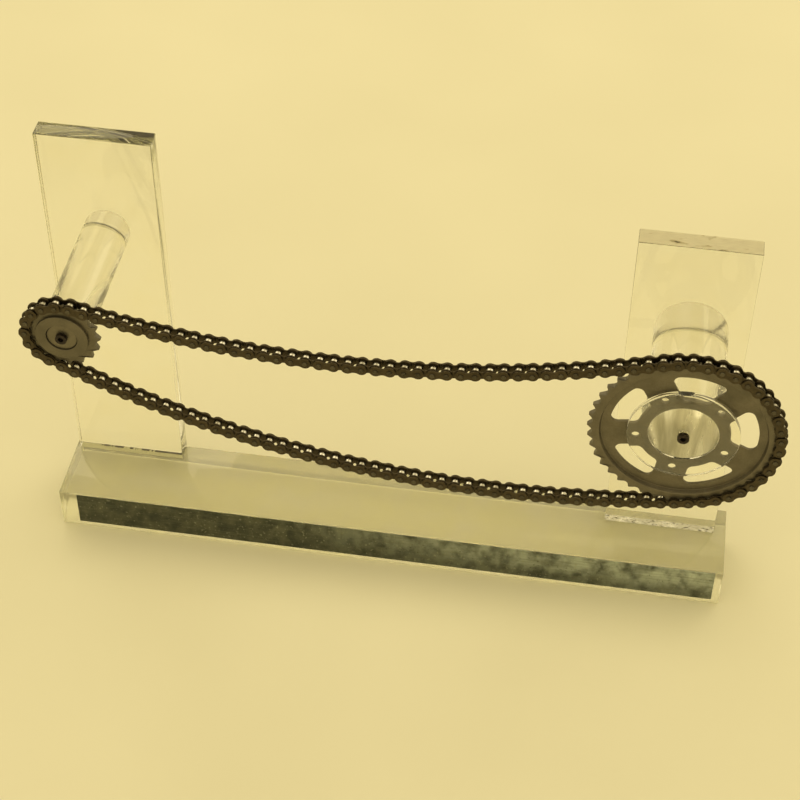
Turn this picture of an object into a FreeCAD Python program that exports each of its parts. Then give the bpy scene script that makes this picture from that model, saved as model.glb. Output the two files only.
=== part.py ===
import FreeCAD, Part
import math, os
import Sketcher
from FreeCAD import Vector, Rotation, Placement

# Roller chain drive on a clear display stand.
#
# Two sprockets carry an endless roller chain that hangs slack between them. Each sprocket turns
# at the end of a clear cylinder, and the cylinders stand out from two clear uprights glued to a
# long clear base. Millimetres, +Z up, origin at the centre of the base's underside. The row of
# rollers lies in a plane in front of the stand (-Y is the front).

doc = FreeCAD.newDocument("ChainDrive")
sheet = doc.addObject("Spreadsheet::Sheet", "Sizes")

SIZES = [
    # alias, value, what it is
    ("pitch", 12.7, "distance between neighbouring chain pins"),
    ("roller_dia", 7.77, "chain roller, outside"),
    ("roller_bore", 5.85, "chain roller, inside"),
    ("roller_width", 6.2, "chain roller, length"),
    ("bush_dia", 5.65, "bush, outside, pressed into the inner plates"),
    ("bush_bore", 4.06, "bush, inside: 0.05 mm radial clearance on the pin"),
    ("pin_dia", 3.96, "chain pin"),
    ("pin_length", 14.7, "chain pin, over its rounded heads"),
    ("pin_waist_dia", 2.0, "thinned middle of the two pins where the modelled loop is open"),
    ("plate_thick", 1.5, "link plate"),
    ("inner_width", 6.4, "gap between a link's inner plates"),
    ("plate_gap", 0.1, "side play between inner and outer plates"),
    ("inner_plate_round", 5.95, "end radius of an inner plate"),
    ("outer_plate_round", 5.45, "end radius of an outer plate"),
    ("plate_waist", 3.7, "half height of a plate at its waist"),
    ("wheel_teeth", 42, "teeth on the large sprocket"),
    ("pinion_teeth", 17, "teeth on the small sprocket"),
    ("tooth_width", 5.9, "thickness of both sprockets at the teeth"),
    ("tip_rise", 0.5, "tooth tip above the pitch circle"),
    ("tooth_taper", 3.0, "the teeth start to thin this far inside the pitch circle"),
    ("tooth_bevel", 1.3, "how much thinner they are at the tip, per side"),
    ("seat_radius", 4.3, "radius of the roller seats between teeth"),
    ("seat_half_angle", 50.0, "half of the arc each roller seat covers, degrees"),
    ("flank_length", 6.0, "straight cut outward from each end of a seat"),
    ("wheel_bore_dia", 62.6, "centre hole of the large sprocket"),
    ("web_radius", 74.5, "the large sprocket's front face is recessed inside this radius"),
    ("web_recess", 4.2, "depth of that recess"),
    ("web_wall_lean", 1.2, "how far the recess's wall leans inward towards its floor"),
    ("web_thick", 3.0, "thickness of the web, which stands out behind the rim"),
    ("window_outer", 66.0, "outer radius of the large sprocket's windows"),
    ("window_inner", 41.0, "inner radius of the windows"),
    ("window_fillet", 6.0, "corner radius of the windows"),
    ("spoke_width", 28.0, "width of the spokes between the windows"),
    ("spoke_count", 5, "spokes, windows and bolt holes"),
    ("spoke_start_deg", 10.2, "first spoke's centre line, from the first tooth gap, degrees"),
    ("bolt_circle_dia", 84.4, "circle through the large sprocket's bolt holes"),
    ("bolt_hole_dia", 7.0, "bolt holes"),
    ("hub_radius", 24.5, "smooth hub in front of the small sprocket's teeth"),
    ("hub_height", 3.1, "how far that hub stands forward of the teeth"),
    ("hub_recess_radius", 14.5, "round recess in the hub's front"),
    ("hub_recess_depth", 2.3, "its depth"),
    ("pinion_bore_dia", 20.1, "bore of the small sprocket"),
    ("bush_clearance", 0.05, "radial running clearance of both sprockets"),
    ("side_play", 0.1, "end play of each sprocket, per side"),
    ("keeper_radius", 50.0, "clear disc in front of the large sprocket"),
    ("keeper_thick", 5.6, "its thickness"),
    ("washer_radius", 13.9, "washer in the small sprocket's recess"),
    ("washer_thick", 0.8, "its thickness"),
    ("screw_head_dia", 10.8, "axle screw heads"),
    ("screw_head_height", 3.8, "axle screw heads, height"),
    ("screw_shank_dia", 7.0, "axle screw shanks"),
    ("screw_socket_flats", 5.0, "hexagon socket, across flats"),
    ("screw_socket_depth", 2.5, "hexagon socket, depth"),
    ("screw_bite", 14.0, "length of screw inside the clear cylinders"),
    ("screw_hole_spare", 2.0, "hole in the clear cylinders beyond the screw's end"),
    ("screw_hole_play", 0.1, "holes round the screws, wider than the shank on diameter"),
    ("base_length", 696.0, "clear base block, along X"),
    ("base_depth", 88.0, "clear base block, along Y"),
    ("base_height", 47.0, "clear base block, height"),
    ("strip_height", 39.5, "metal strip on the front of the base"),
    ("strip_thick", 0.8, "metal strip, thickness"),
    ("strip_left_margin", 19.0, "bare block left of the strip"),
    ("strip_right_margin", 8.0, "bare block right of the strip"),
    ("strip_drop", 1.2, "strip below the top edge of the block"),
    ("upright_width", 113.0, "clear uprights, along X"),
    ("upright_thick", 20.0, "clear uprights, along Y"),
    ("right_upright_x", 279.0, "middle of the right upright"),
    ("left_upright_x", -287.2, "middle of the left upright"),
    ("right_upright_front", 9.5, "front face of the right upright, Y"),
    ("left_upright_front", 24.0, "front face of the left upright, Y"),
    ("right_upright_top", 421.5, "top of the right upright above the table"),
    ("left_upright_top", 462.0, "top of the left upright above the table"),
    ("right_boss_radius", 35.0, "clear cylinder behind the large sprocket"),
    ("left_boss_radius", 22.5, "clear cylinder behind the small sprocket"),
    ("boss_shoulder", 4.5, "rounding of the clear cylinders' ends at the uprights"),
    ("edge_break", 0.8, "chamfer on the clear pieces and the screw heads"),
    ("rim_break", 0.6, "chamfer on the front rims of the keeper and the small sprocket's hub"),
    ("roller_break", 0.3, "chamfer on the rollers' ends"),
    ("pin_head_height", 0.4, "bevelled end of a pin, along it"),
    ("pin_head_inset", 0.5, "bevelled end of a pin, across it"),
    ("chain_y", -130.6, "plane of the rollers, in front of the stand"),
    ("wheel_x", 281.0, "large sprocket axis, X"),
    ("wheel_z", 325.0, "large sprocket axis above the table"),
    ("axis_distance", 563.0, "between the two sprocket axes"),
    ("axis_rise", 34.5, "small sprocket axis above the large one"),
    ("wheel_start_deg", 107.8, "direction of the first roller seated on the large sprocket"),
    ("pinion_start_deg", 243.08, "direction of the first roller seated on the small sprocket"),
]

# Links on each stretch, in the order the loop is laid: over the large sprocket, back along the
# lower strand, over the small sprocket and forward along the upper strand. Even links are outer
# links with pins, odd ones are inner links with bushes and rollers.
WHEEL_LINKS, LOWER_LINKS, PINION_LINKS, UPPER_LINKS = 22, 48, 8, 42

S = {}
for row, (alias, value, note) in enumerate(SIZES, start=1):
    sheet.set("A%d" % row, alias)
    sheet.set("B%d" % row, repr(value))
    sheet.set("C%d" % row, note)
    sheet.setAlias("B%d" % row, alias)
    S[alias] = value
doc.recompute()


# ---------------------------------------------------------------- helpers

def new_body(name):
    return doc.addObject("PartDesign::Body", name)


def new_sketch(body, name, plane="XY", lift=None):
    """Sketch on one of the body's own origin planes, lifted along its normal by an expression."""
    sketch = body.newObject("Sketcher::SketchObject", name)
    role = plane + "_Plane"
    origin_plane = [f for f in body.Origin.OriginFeatures if f.Role == role][0]
    sketch.AttachmentSupport = (origin_plane, [""])
    sketch.MapMode = "FlatFace"
    if lift:
        sketch.setExpression("AttachmentOffset.Base.z", lift)
    return sketch


def circle(sketch, dia_expr, dia, x=0.0, y=0.0):
    index = sketch.addGeometry(Part.Circle(Vector(x, y, 0), Vector(0, 0, 1), dia / 2.0), False)
    con = sketch.addConstraint(Sketcher.Constraint("Diameter", index, dia))
    sketch.setExpression("Constraints[%d]" % con, dia_expr)
    if x == 0.0 and y == 0.0:
        sketch.addConstraint(Sketcher.Constraint("Coincident", index, 3, -1, 1))
    return index


def chain_of(sketch, items):
    """Closed outline from ('line', a, b) and ('arc', a, middle, b) pieces, joined end to end."""
    for item in items:
        if item[0] == "line":
            sketch.addGeometry(Part.LineSegment(item[1], item[2]), False)
        else:
            arc = Part.Arc(item[1], item[2], item[3])
            sketch.addGeometry(arc, False)


def polygon(sketch, points):
    corners = [Vector(x, y, 0) for x, y in points]
    chain_of(sketch, [("line", corners[i], corners[(i + 1) % len(corners)])
                      for i in range(len(corners))])
    for i in range(len(corners)):
        sketch.addConstraint(Sketcher.Constraint("Coincident", i, 2, (i + 1) % len(corners), 1))


def box_sketch(sketch, width_expr, width, depth_expr, depth):
    """Centred rectangle whose two sizes follow the spreadsheet."""
    w, d = width / 2.0, depth / 2.0
    polygon(sketch, [(-w, -d), (w, -d), (w, d), (-w, d)])
    sketch.addConstraint(Sketcher.Constraint("Horizontal", 0))
    sketch.addConstraint(Sketcher.Constraint("Vertical", 1))
    sketch.addConstraint(Sketcher.Constraint("Horizontal", 2))
    sketch.addConstraint(Sketcher.Constraint("Vertical", 3))
    sketch.addConstraint(Sketcher.Constraint("Symmetric", 0, 1, 1, 2, -1, 1))
    con = sketch.addConstraint(Sketcher.Constraint("DistanceX", 0, 1, 0, 2, width))
    sketch.setExpression("Constraints[%d]" % con, width_expr)
    con = sketch.addConstraint(Sketcher.Constraint("DistanceY", 1, 1, 1, 2, depth))
    sketch.setExpression("Constraints[%d]" % con, depth_expr)


def pad(body, name, sketch, length_expr, symmetric=False):
    feature = body.newObject("PartDesign::Pad", name)
    feature.Profile = sketch
    feature.setExpression("Length", length_expr)
    feature.Midplane = symmetric
    sketch.Visibility = False
    doc.recompute()
    return feature


def through_pocket(body, name, sketch):
    feature = body.newObject("PartDesign::Pocket", name)
    feature.Profile = sketch
    feature.Type = 1
    feature.Midplane = True
    sketch.Visibility = False
    doc.recompute()
    return feature


def blind_pocket(body, name, sketch, depth_expr, reverse=False):
    feature = body.newObject("PartDesign::Pocket", name)
    feature.Profile = sketch
    feature.Type = 0
    feature.setExpression("Length", depth_expr)
    feature.Reversed = reverse
    sketch.Visibility = False
    doc.recompute()
    return feature


def revolve_z(body, name, sketch):
    feature = body.newObject("PartDesign::Revolution", name)
    feature.Profile = sketch
    feature.ReferenceAxis = (sketch, ["V_Axis"])
    feature.Angle = 360.0
    sketch.Visibility = False
    doc.recompute()
    return feature


def polar(body, name, feature, count_expr, count):
    pattern = body.newObject("PartDesign::PolarPattern", name)
    pattern.Originals = [feature]
    z_axis = [f for f in body.Origin.OriginFeatures if f.Role == "Z_Axis"][0]
    pattern.Axis = (z_axis, [""])
    pattern.Angle = 360.0
    pattern.Occurrences = count
    pattern.setExpression("Occurrences", count_expr)
    body.Tip = pattern
    doc.recompute()
    return pattern


def chamfer_edges(body, name, feature, size_expr, pick):
    """Chamfer the edges of the last feature that pick() accepts."""
    edges = ["Edge%d" % (i + 1) for i, e in enumerate(feature.Shape.Edges) if pick(e)]
    chamfer = body.newObject("PartDesign::Chamfer", name)
    chamfer.Base = (feature, edges)
    chamfer.setExpression("Size", size_expr)
    body.Tip = chamfer
    doc.recompute()
    return chamfer


def round_edges(body, name, feature, radius_expr, pick):
    """Fillet the edges of the last feature that pick() accepts."""
    edges = ["Edge%d" % (i + 1) for i, e in enumerate(feature.Shape.Edges) if pick(e)]
    fillet = body.newObject("PartDesign::Fillet", name)
    fillet.Base = (feature, edges)
    fillet.setExpression("Radius", radius_expr)
    body.Tip = fillet
    doc.recompute()
    return fillet


# Local +Z of every round piece points to the front of the stand.
FACE_FRONT = Rotation(Vector(1, 0, 0), 90)


def place(body, x_expr, y_expr, z_expr, turn=0.0):
    body.Placement = Placement(Vector(0, 0, 0), FACE_FRONT.multiply(Rotation(Vector(0, 0, 1), turn)))
    body.setExpression(".Placement.Base.x", x_expr)
    body.setExpression(".Placement.Base.y", y_expr)
    body.setExpression(".Placement.Base.z", z_expr)


# ---------------------------------------------------------------- the path of the chain

def pitch_radius(teeth):
    return S["pitch"] / (2.0 * math.sin(math.pi / teeth))


def on_circle(centre, radius, degrees):
    a = math.radians(degrees)
    return (centre[0] + radius * math.cos(a), centre[1] + radius * math.sin(a))


def hanging_arc(start, end, links):
    """Pins of a slack strand: equal chords on the sagging arc from start to end.

    Returns the pins, both ends included, and the radius of the arc."""
    span = math.hypot(end[0] - start[0], end[1] - start[1])
    low, high = 1e-6, math.pi / links * 0.999
    for _ in range(200):
        half = (low + high) / 2.0
        reach = S["pitch"] * math.sin(links * half) / math.sin(half)
        if reach > span:
            low = half
        else:
            high = half
    radius = S["pitch"] / (2.0 * math.sin(half))
    ux, uz = (end[0] - start[0]) / span, (end[1] - start[1]) / span
    nx, nz = (-uz, ux) if ux > 0 else (uz, -ux)
    drop = radius * math.cos(links * half)
    cx = (start[0] + end[0]) / 2.0 + nx * drop
    cz = (start[1] + end[1]) / 2.0 + nz * drop
    first = math.degrees(math.atan2(start[1] - cz, start[0] - cx))
    step = math.degrees(2.0 * half) * (1 if ux > 0 else -1)
    return [on_circle((cx, cz), radius, first + step * k) for k in range(links + 1)], radius


wheel_centre = (S["wheel_x"], S["wheel_z"])
axis_run = math.sqrt(S["axis_distance"] ** 2 - S["axis_rise"] ** 2)
pinion_centre = (wheel_centre[0] - axis_run, wheel_centre[1] + S["axis_rise"])
wheel_radius = pitch_radius(S["wheel_teeth"])
pinion_radius = pitch_radius(S["pinion_teeth"])

wheel_pins = [on_circle(wheel_centre, wheel_radius, S["wheel_start_deg"] - 360.0 * k / S["wheel_teeth"])
              for k in range(WHEEL_LINKS + 1)]
pinion_pins = [on_circle(pinion_centre, pinion_radius,
                         S["pinion_start_deg"] - 360.0 * k / S["pinion_teeth"])
               for k in range(PINION_LINKS + 1)]
lower_pins, lower_arc_radius = hanging_arc(wheel_pins[-1], pinion_pins[0], LOWER_LINKS)
upper_pins, upper_arc_radius = hanging_arc(pinion_pins[-1], wheel_pins[0], UPPER_LINKS)

pins = wheel_pins[:-1] + lower_pins[:-1] + pinion_pins[:-1] + upper_pins[:-1]
TOTAL = len(pins)
STRETCHES = [("wheel_wrap", 0, WHEEL_LINKS),
             ("lower_strand", WHEEL_LINKS, LOWER_LINKS),
             ("pinion_wrap", WHEEL_LINKS + LOWER_LINKS, PINION_LINKS),
             ("upper_strand", WHEEL_LINKS + LOWER_LINKS + PINION_LINKS, UPPER_LINKS)]
OPEN_PINS = (WHEEL_LINKS + LOWER_LINKS, WHEEL_LINKS + LOWER_LINKS + PINION_LINKS)

for k in range(TOTAL):
    a, b = pins[k], pins[(k + 1) % TOTAL]
    assert abs(math.hypot(b[0] - a[0], b[1] - a[1]) - S["pitch"]) < 1e-4


# ---------------------------------------------------------------- sprockets

def tooth_gap(body, name, teeth):
    """Roller seat with straight flanks, cut through the rim at local angle 0."""
    seat, reach = S["seat_radius"], S["flank_length"]
    pitch_r = pitch_radius(teeth)
    t = math.radians(S["seat_half_angle"])
    sx, sy = pitch_r - seat * math.cos(t), seat * math.sin(t)
    fx, fy = sx + reach * math.sin(t), sy + reach * math.cos(t)
    seat_end, seat_start = Vector(sx, sy, 0), Vector(sx, -sy, 0)
    outer_end, outer_start = Vector(fx, fy, 0), Vector(fx, -fy, 0)
    sketch = new_sketch(body, name + "_outline")
    chain_of(sketch, [("arc", seat_start, Vector(pitch_r - seat, 0, 0), seat_end),
                      ("line", seat_end, outer_end),
                      ("line", outer_end, outer_start),
                      ("line", outer_start, seat_start)])
    return through_pocket(body, name, sketch)


def outline_of_revolution(body, name, points):
    sketch = new_sketch(body, name, "XZ")
    polygon(sketch, points)
    return sketch


def tapered_rim(pitch_r):
    """Half outline of a sprocket's rim, from its back face round the tips to its front face."""
    half = S["tooth_width"] / 2.0
    full, tip = pitch_r - S["tooth_taper"], pitch_r + S["tip_rise"]
    thin = half - S["tooth_bevel"]
    return [(full, -half), (tip, -thin), (tip, thin), (full, half)]


def web_faces():
    """Back and front of the large sprocket's web, along its axis from the middle of the teeth."""
    front = S["tooth_width"] / 2.0 - S["web_recess"]
    return front - S["web_thick"], front


def build_wheel():
    body = new_body("big_sprocket")
    half = S["tooth_width"] / 2.0
    bore, step, lean = S["wheel_bore_dia"] / 2.0, S["web_radius"], S["web_wall_lean"]
    web_back, web_front = web_faces()
    blank = outline_of_revolution(
        body, "wheel_outline", [(bore, web_back), (step, web_back), (step + lean, -half)]
        + tapered_rim(wheel_radius) + [(step, half), (step - lean, web_front), (bore, web_front)])
    revolve_z(body, "wheel_blank", blank)
    gap = tooth_gap(body, "wheel_gap", S["wheel_teeth"])
    polar(body, "wheel_gaps", gap, "Sizes.wheel_teeth", S["wheel_teeth"])

    # One window: between two spokes, at equal distances from their centre lines.
    outer, inner = S["window_outer"], S["window_inner"]
    fil, off = S["window_fillet"], S["spoke_width"] / 2.0
    step = 360.0 / S["spoke_count"]
    middle = S["spoke_start_deg"] + step / 2.0
    out_u = math.sqrt((outer - fil) ** 2 - (off + fil) ** 2)
    in_u = math.sqrt((inner + fil) ** 2 - (off + fil) ** 2)

    def from_spoke(u, v, side):
        """Point u along a spoke and v beside it; the window lies between two spokes."""
        a = math.radians(middle - side * step / 2.0)
        v = v * side
        return Vector(u * math.cos(a) - v * math.sin(a), u * math.sin(a) + v * math.cos(a), 0)

    def fillet(centre, p, q):
        mid = (p + q) * 0.5 - centre
        return ("arc", p, centre + mid.normalize() * fil, q)

    def radial(centre, radius):
        return centre * (radius / centre.Length)

    co, ci = from_spoke(out_u, off + fil, 1), from_spoke(in_u, off + fil, 1)
    do, di = from_spoke(out_u, off + fil, -1), from_spoke(in_u, off + fil, -1)
    lo, li = from_spoke(out_u, off, 1), from_spoke(in_u, off, 1)
    mo, mi = from_spoke(out_u, off, -1), from_spoke(in_u, off, -1)
    m = math.radians(middle)
    along = Vector(math.cos(m), math.sin(m), 0)
    window = new_sketch(body, "window_outline")
    chain_of(window, [
        ("line", li, lo), fillet(co, lo, radial(co, outer)),
        ("arc", radial(co, outer), along * outer, radial(do, outer)),
        fillet(do, radial(do, outer), mo), ("line", mo, mi), fillet(di, mi, radial(di, inner)),
        ("arc", radial(di, inner), along * inner, radial(ci, inner)),
        fillet(ci, radial(ci, inner), li)])
    window_cut = through_pocket(body, "window", window)
    polar(body, "windows", window_cut, "Sizes.spoke_count", S["spoke_count"])

    hole = new_sketch(body, "bolt_hole_circle")
    hole_x, hole_y = on_circle((0.0, 0.0), S["bolt_circle_dia"] / 2.0, S["spoke_start_deg"])
    circle(hole, "Sizes.bolt_hole_dia", S["bolt_hole_dia"], hole_x, hole_y)
    hole_cut = through_pocket(body, "bolt_hole", hole)
    polar(body, "bolt_holes", hole_cut, "Sizes.spoke_count", S["spoke_count"])
    return body


def build_pinion():
    body = new_body("small_sprocket")
    half = S["tooth_width"] / 2.0
    bore = S["pinion_bore_dia"] / 2.0
    front = half + S["hub_height"]
    floor = front - S["hub_recess_depth"]
    hub, edge = S["hub_radius"], S["rim_break"]
    blank = outline_of_revolution(
        body, "pinion_outline", [(bore, -half)] + tapered_rim(pinion_radius)
        + [(hub, half), (hub, front - edge), (hub - edge, front), (S["hub_recess_radius"], front),
           (S["hub_recess_radius"], floor), (bore, floor)])
    revolve_z(body, "pinion_blank", blank)
    gap = tooth_gap(body, "pinion_gap", S["pinion_teeth"])
    polar(body, "pinion_gaps", gap, "Sizes.pinion_teeth", S["pinion_teeth"])
    return body


def ring(name, outer_expr, outer_dia, inner_expr, inner_dia, length_expr):
    """Plain ring standing on its local XY plane."""
    body = new_body(name)
    disc = new_sketch(body, name + "_outside")
    circle(disc, outer_expr, outer_dia)
    pad(body, name + "_disc", disc, length_expr)
    hole = new_sketch(body, name + "_inside")
    circle(hole, inner_expr, inner_dia)
    through_pocket(body, name + "_hole", hole)
    return body


def build_screw(name, shank_expr):
    """Socket-headed axle screw: its head sits on local Z = 0, its shank points to -Z."""
    body = new_body(name)
    head = new_sketch(body, name + "_head_circle")
    circle(head, "Sizes.screw_head_dia", S["screw_head_dia"])
    head_pad = pad(body, name + "_head", head, "Sizes.screw_head_height")
    top = S["screw_head_height"]
    chamfer_edges(body, name + "_head_edge", head_pad, "Sizes.edge_break",
                  lambda e: len(e.Vertexes) == 1 and abs(e.CenterOfMass.z - top) < 1e-6)
    shank = new_sketch(body, name + "_shank_circle")
    circle(shank, "Sizes.screw_shank_dia", S["screw_shank_dia"])
    shank_pad = body.newObject("PartDesign::Pad", name + "_shank")
    shank_pad.Profile = shank
    shank_pad.setExpression("Length", shank_expr)
    shank_pad.Reversed = True
    shank.Visibility = False
    doc.recompute()
    hexagon = new_sketch(body, name + "_socket_outline", lift="Sizes.screw_head_height")
    r = S["screw_socket_flats"] / math.sqrt(3.0)
    polygon(hexagon, [(r * math.cos(math.radians(60 * k)), r * math.sin(math.radians(60 * k)))
                      for k in range(6)])
    body.Tip = blind_pocket(body, name + "_socket", hexagon, "Sizes.screw_socket_depth")
    return body


PINION_X = "Sizes.wheel_x - sqrt(Sizes.axis_distance ^ 2 - Sizes.axis_rise ^ 2)"
PINION_Z = "Sizes.wheel_z + Sizes.axis_rise"
WEB_FRONT = "Sizes.chain_y - Sizes.tooth_width / 2 + Sizes.web_recess"
WHEEL_BOSS_END = WEB_FRONT + " + Sizes.web_thick + Sizes.side_play"
PINION_BOSS_END = "Sizes.chain_y + Sizes.tooth_width / 2 + Sizes.side_play"
SCREW_HOLE = "Sizes.screw_shank_dia + Sizes.screw_hole_play"
screw_hole_dia = S["screw_shank_dia"] + S["screw_hole_play"]

# The gap pattern starts at local angle 0, and one gap must face the first seated roller. The
# windows and holes turn with the wheel; they sit where they do in the real drive at rest.
place(build_wheel(), "Sizes.wheel_x", "Sizes.chain_y", "Sizes.wheel_z", S["wheel_start_deg"])
place(build_pinion(), PINION_X, "Sizes.chain_y", PINION_Z, S["pinion_start_deg"])


def build_keeper():
    """Clear disc with the spigot the large sprocket turns on, bored for its screw."""
    body = new_body("wheel_keeper")
    rim, edge, hole = S["keeper_radius"], S["rim_break"], screw_hole_dia / 2.0
    spigot = S["wheel_bore_dia"] / 2.0 - S["bush_clearance"]
    web_back, web_front = web_faces()
    back, seat = web_back - S["side_play"], web_front + S["side_play"]
    face = seat + S["keeper_thick"]
    outline = outline_of_revolution(body, "keeper_outline", [
        (hole, back), (spigot, back), (spigot, seat), (rim, seat), (rim, face - edge),
        (rim - edge, face), (hole, face)])
    revolve_z(body, "keeper_body", outline)
    return body


place(build_keeper(), "Sizes.wheel_x", "Sizes.chain_y", "Sizes.wheel_z")
wheel_screw = build_screw("wheel_screw",
                          "Sizes.keeper_thick + Sizes.web_thick + 2 * Sizes.side_play"
                          " + Sizes.screw_bite")
place(wheel_screw, "Sizes.wheel_x", WEB_FRONT + " - Sizes.side_play - Sizes.keeper_thick",
      "Sizes.wheel_z")

# Steel bush and washer of the small sprocket.
pinion_bush = ring("pinion_bush", "Sizes.pinion_bore_dia - 2 * Sizes.bush_clearance",
                   S["pinion_bore_dia"], SCREW_HOLE, screw_hole_dia,
                   "Sizes.tooth_width + Sizes.hub_height - Sizes.hub_recess_depth"
                   " + 2 * Sizes.side_play")
place(pinion_bush, PINION_X, PINION_BOSS_END, PINION_Z)
WASHER_BACK = ("Sizes.chain_y - Sizes.tooth_width / 2 - Sizes.hub_height"
               " + Sizes.hub_recess_depth - Sizes.side_play")
pinion_washer = ring("pinion_washer", "2 * Sizes.washer_radius", 2 * S["washer_radius"],
                     SCREW_HOLE, screw_hole_dia, "Sizes.washer_thick")
place(pinion_washer, PINION_X, WASHER_BACK, PINION_Z)
pinion_screw = build_screw("pinion_screw",
                           "Sizes.washer_thick + Sizes.tooth_width + Sizes.hub_height"
                           " - Sizes.hub_recess_depth + 2 * Sizes.side_play"
                           " + Sizes.screw_bite")
place(pinion_screw, PINION_X, WASHER_BACK + " - Sizes.washer_thick", PINION_Z)


# ---------------------------------------------------------------- clear stand

def slab(name, width, depth, height, x_expr, y_expr, z_expr, bevelled=True):
    """Upright block centred on local X and Y, standing on local Z = 0."""
    body = new_body(name)
    foot = new_sketch(body, name + "_foot")
    box_sketch(foot, width[0], width[1], depth[0], depth[1])
    block = pad(body, name + "_block", foot, height)
    if bevelled:
        chamfer_edges(body, name + "_bevel", block, "Sizes.edge_break",
                      lambda e: e.BoundBox.ZMin > 1e-6)
    body.setExpression(".Placement.Base.x", x_expr)
    body.setExpression(".Placement.Base.y", y_expr)
    body.setExpression(".Placement.Base.z", z_expr)
    return body


slab("base_block", ("Sizes.base_length", S["base_length"]), ("Sizes.base_depth", S["base_depth"]),
     "Sizes.base_height", "0 mm", "0 mm", "0 mm")
strip_length = S["base_length"] - S["strip_left_margin"] - S["strip_right_margin"]
slab("front_strip",
     ("Sizes.base_length - Sizes.strip_left_margin - Sizes.strip_right_margin", strip_length),
     ("Sizes.strip_thick", S["strip_thick"]), "Sizes.strip_height",
     "(Sizes.strip_left_margin - Sizes.strip_right_margin) / 2",
     "-(Sizes.base_depth + Sizes.strip_thick) / 2",
     "Sizes.base_height - Sizes.strip_drop - Sizes.strip_height", bevelled=False)
for side in ("right", "left"):
    slab(side + "_upright", ("Sizes.upright_width", S["upright_width"]),
         ("Sizes.upright_thick", S["upright_thick"]),
         "Sizes.%s_upright_top - Sizes.base_height" % side,
         "Sizes.%s_upright_x" % side,
         "Sizes.%s_upright_front + Sizes.upright_thick / 2" % side,
         "Sizes.base_height")


def build_boss(name, radius_alias, front_alias, x_expr, z_expr, end_expr, end_y):
    """Clear cylinder from an upright's front face to its sprocket, with a blind screw hole."""
    body = new_body(name)
    disc = new_sketch(body, name + "_circle")
    circle(disc, "2 * Sizes." + radius_alias, 2 * S[radius_alias])
    length_expr, length = "Sizes.%s - (%s)" % (front_alias, end_expr), S[front_alias] - end_y
    pad(body, name + "_cylinder", disc, length_expr)
    bore = new_sketch(body, name + "_hole_circle", lift=length_expr)
    circle(bore, SCREW_HOLE, screw_hole_dia)
    pocket = blind_pocket(body, name + "_hole", bore, "Sizes.screw_bite + Sizes.screw_hole_spare")
    edge = chamfer_edges(body, name + "_edge", pocket, "Sizes.edge_break",
                         lambda e: len(e.Vertexes) == 1 and abs(e.CenterOfMass.z - length) < 1e-6
                         and e.BoundBox.XLength > S[radius_alias])
    round_edges(body, name + "_shoulder", edge, "Sizes.boss_shoulder",
                lambda e: len(e.Vertexes) == 1 and abs(e.CenterOfMass.z) < 1e-6)
    place(body, x_expr, "Sizes." + front_alias, z_expr)
    return body


build_boss("right_boss", "right_boss_radius", "right_upright_front", "Sizes.wheel_x", "Sizes.wheel_z",
           WHEEL_BOSS_END, S["chain_y"] - web_faces()[0] + S["side_play"])
build_boss("left_boss", "left_boss_radius", "left_upright_front", PINION_X, PINION_Z,
           PINION_BOSS_END, S["chain_y"] + S["tooth_width"] / 2.0 + S["side_play"])


# ---------------------------------------------------------------- one of each chain piece

def plate_master(name, round_alias, hole_expr, hole_dia):
    """Figure-eight link plate with its holes at -pitch/2 and +pitch/2, centred in thickness."""
    body = new_body(name)
    r, hp = S[round_alias], S["pitch"] / 2.0
    gap = r - S["plate_waist"]
    rise = (hp * hp - gap * gap) / (2.0 * gap)
    waist_r = rise - S["plate_waist"]
    k = r / (r + waist_r)
    tx, ty = hp - hp * k, rise * k
    outline = new_sketch(body, name + "_outline")
    chain_of(outline, [
        ("arc", Vector(tx, ty, 0), Vector(0, S["plate_waist"], 0), Vector(-tx, ty, 0)),
        ("arc", Vector(-tx, ty, 0), Vector(-hp - r, 0, 0), Vector(-tx, -ty, 0)),
        ("arc", Vector(-tx, -ty, 0), Vector(0, -S["plate_waist"], 0), Vector(tx, -ty, 0)),
        ("arc", Vector(tx, -ty, 0), Vector(hp + r, 0, 0), Vector(tx, ty, 0))])
    for x in (-hp, hp):
        circle(outline, hole_expr, hole_dia, x, 0.0)
    pad(body, name + "_pad", outline, "Sizes.plate_thick", symmetric=True)
    return body


outer_master = plate_master("outer_plate_form", "outer_plate_round", "Sizes.pin_dia", S["pin_dia"])
inner_master = plate_master("inner_plate_form", "inner_plate_round", "Sizes.bush_dia", S["bush_dia"])


def turned(name, half_outline):
    body = new_body(name)
    revolve_z(body, name + "_turned", outline_of_revolution(body, name + "_outline", half_outline))
    return body


pin_r, pin_half = S["pin_dia"] / 2.0, S["pin_length"] / 2.0
waist_r = S["pin_waist_dia"] / 2.0
bevel_r, bevel_at = pin_r - S["pin_head_inset"], pin_half - S["pin_head_height"]
bush_half = S["inner_width"] / 2.0 + S["plate_thick"]
waist_half = bush_half + S["plate_gap"]
bush_out, bush_in = S["bush_dia"] / 2.0, S["bush_bore"] / 2.0
roller_out, roller_in = S["roller_dia"] / 2.0, S["roller_bore"] / 2.0
roller_half, roller_edge = S["roller_width"] / 2.0, S["roller_break"]

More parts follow.
